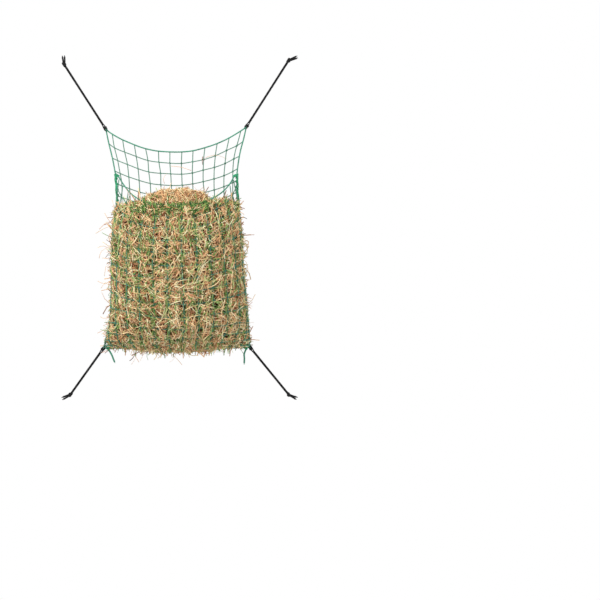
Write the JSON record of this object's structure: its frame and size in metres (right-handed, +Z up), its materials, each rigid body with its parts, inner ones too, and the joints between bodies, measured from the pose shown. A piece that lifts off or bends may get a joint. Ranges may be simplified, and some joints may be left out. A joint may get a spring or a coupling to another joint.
{
  "type": "hay net",
  "caption": "Square-mesh hay net: flat back panel, hay-filled front panel with an open roped mouth, and a doubled tie cord with a knot at each corner.",
  "frame": {"origin": "middle of the line between the two upper tie knots, in the plane of the border ropes", "axes": "+X to the right seen from the front, -Y to the front where the hay bulges, +Z up"},
  "size_m": [0.9414, 0.2057, 1.3773],
  "materials": {
    "netting": "green polyethylene net twine, satin",
    "rope": "green twisted polyethylene rope, satin",
    "tie": "black braided polypropylene cord, satin sheen",
    "hay": "dry meadow hay, matt, tan with green and brown stalks"
  },
  "bodies": {
    "net": {"back_panel": "netting", "front_panel": "netting", "top_rope": "rope", "bottom_rope": "rope", "left_rope": "rope", "right_rope": "rope", "mouth_knot_left": "rope", "mouth_knot_right": "rope", "lacing_left": "rope", "lacing_right": "rope", "lacing_knot_left": "rope", "lacing_knot_right": "rope", "lacing_tail_left": "rope", "lacing_tail_right": "rope", "corner_eye_top_left": "rope", "corner_eye_top_right": "rope", "corner_eye_bottom_left": "rope", "corner_eye_bottom_right": "rope", "hay_fill": "hay"},
    "mouth": {"mouth_rope": "rope"},
    "hay_crown": {"hay_top": "hay"},
    "tie_top_left": {"tie_cord_top_left": "tie", "tie_hitch_top_left": "tie", "tie_knot_top_left": "tie", "tie_tails_top_left": "tie"},
    "tie_top_right": {"tie_cord_top_right": "tie", "tie_hitch_top_right": "tie", "tie_knot_top_right": "tie", "tie_tails_top_right": "tie"},
    "tie_bottom_left": {"tie_cord_bottom_left": "tie", "tie_hitch_bottom_left": "tie", "tie_knot_bottom_left": "tie", "tie_tails_bottom_left": "tie"},
    "tie_bottom_right": {"tie_cord_bottom_right": "tie", "tie_hitch_bottom_right": "tie", "tie_knot_bottom_right": "tie", "tie_tails_bottom_right": "tie"}
  },
  "joints": [
    {"name": "tie_top_left_swing", "type": "hinge", "parent": "net", "child": "tie_top_left", "pos_m": [-0.283, -0.006, -0.263], "axis": [0, 1, 0], "range_deg": [-120, 70]},
    {"name": "tie_top_right_swing", "type": "hinge", "parent": "net", "child": "tie_top_right", "pos_m": [0.283, -0.006, -0.254], "axis": [0, 1, 0], "range_deg": [-70, 120]},
    {"name": "tie_bottom_left_swing", "type": "hinge", "parent": "net", "child": "tie_bottom_left", "pos_m": [-0.292, -0.006, -1.145], "axis": [0, 1, 0], "range_deg": [-70, 110]},
    {"name": "tie_bottom_right_swing", "type": "hinge", "parent": "net", "child": "tie_bottom_right", "pos_m": [0.299, -0.006, -1.142], "axis": [0, 1, 0], "range_deg": [-110, 70]},
    {"name": "mouth_opens", "type": "hinge", "parent": "net", "child": "mouth", "pos_m": [0.002, -0.0065, -0.452], "axis": [-1, 0, 0], "range_deg": [0, 35]},
    {"name": "hay_crown_lift", "type": "slide", "parent": "net", "child": "hay_crown", "axis": [0, 0, 1], "range_m": [0, 0.3]}
  ]
}
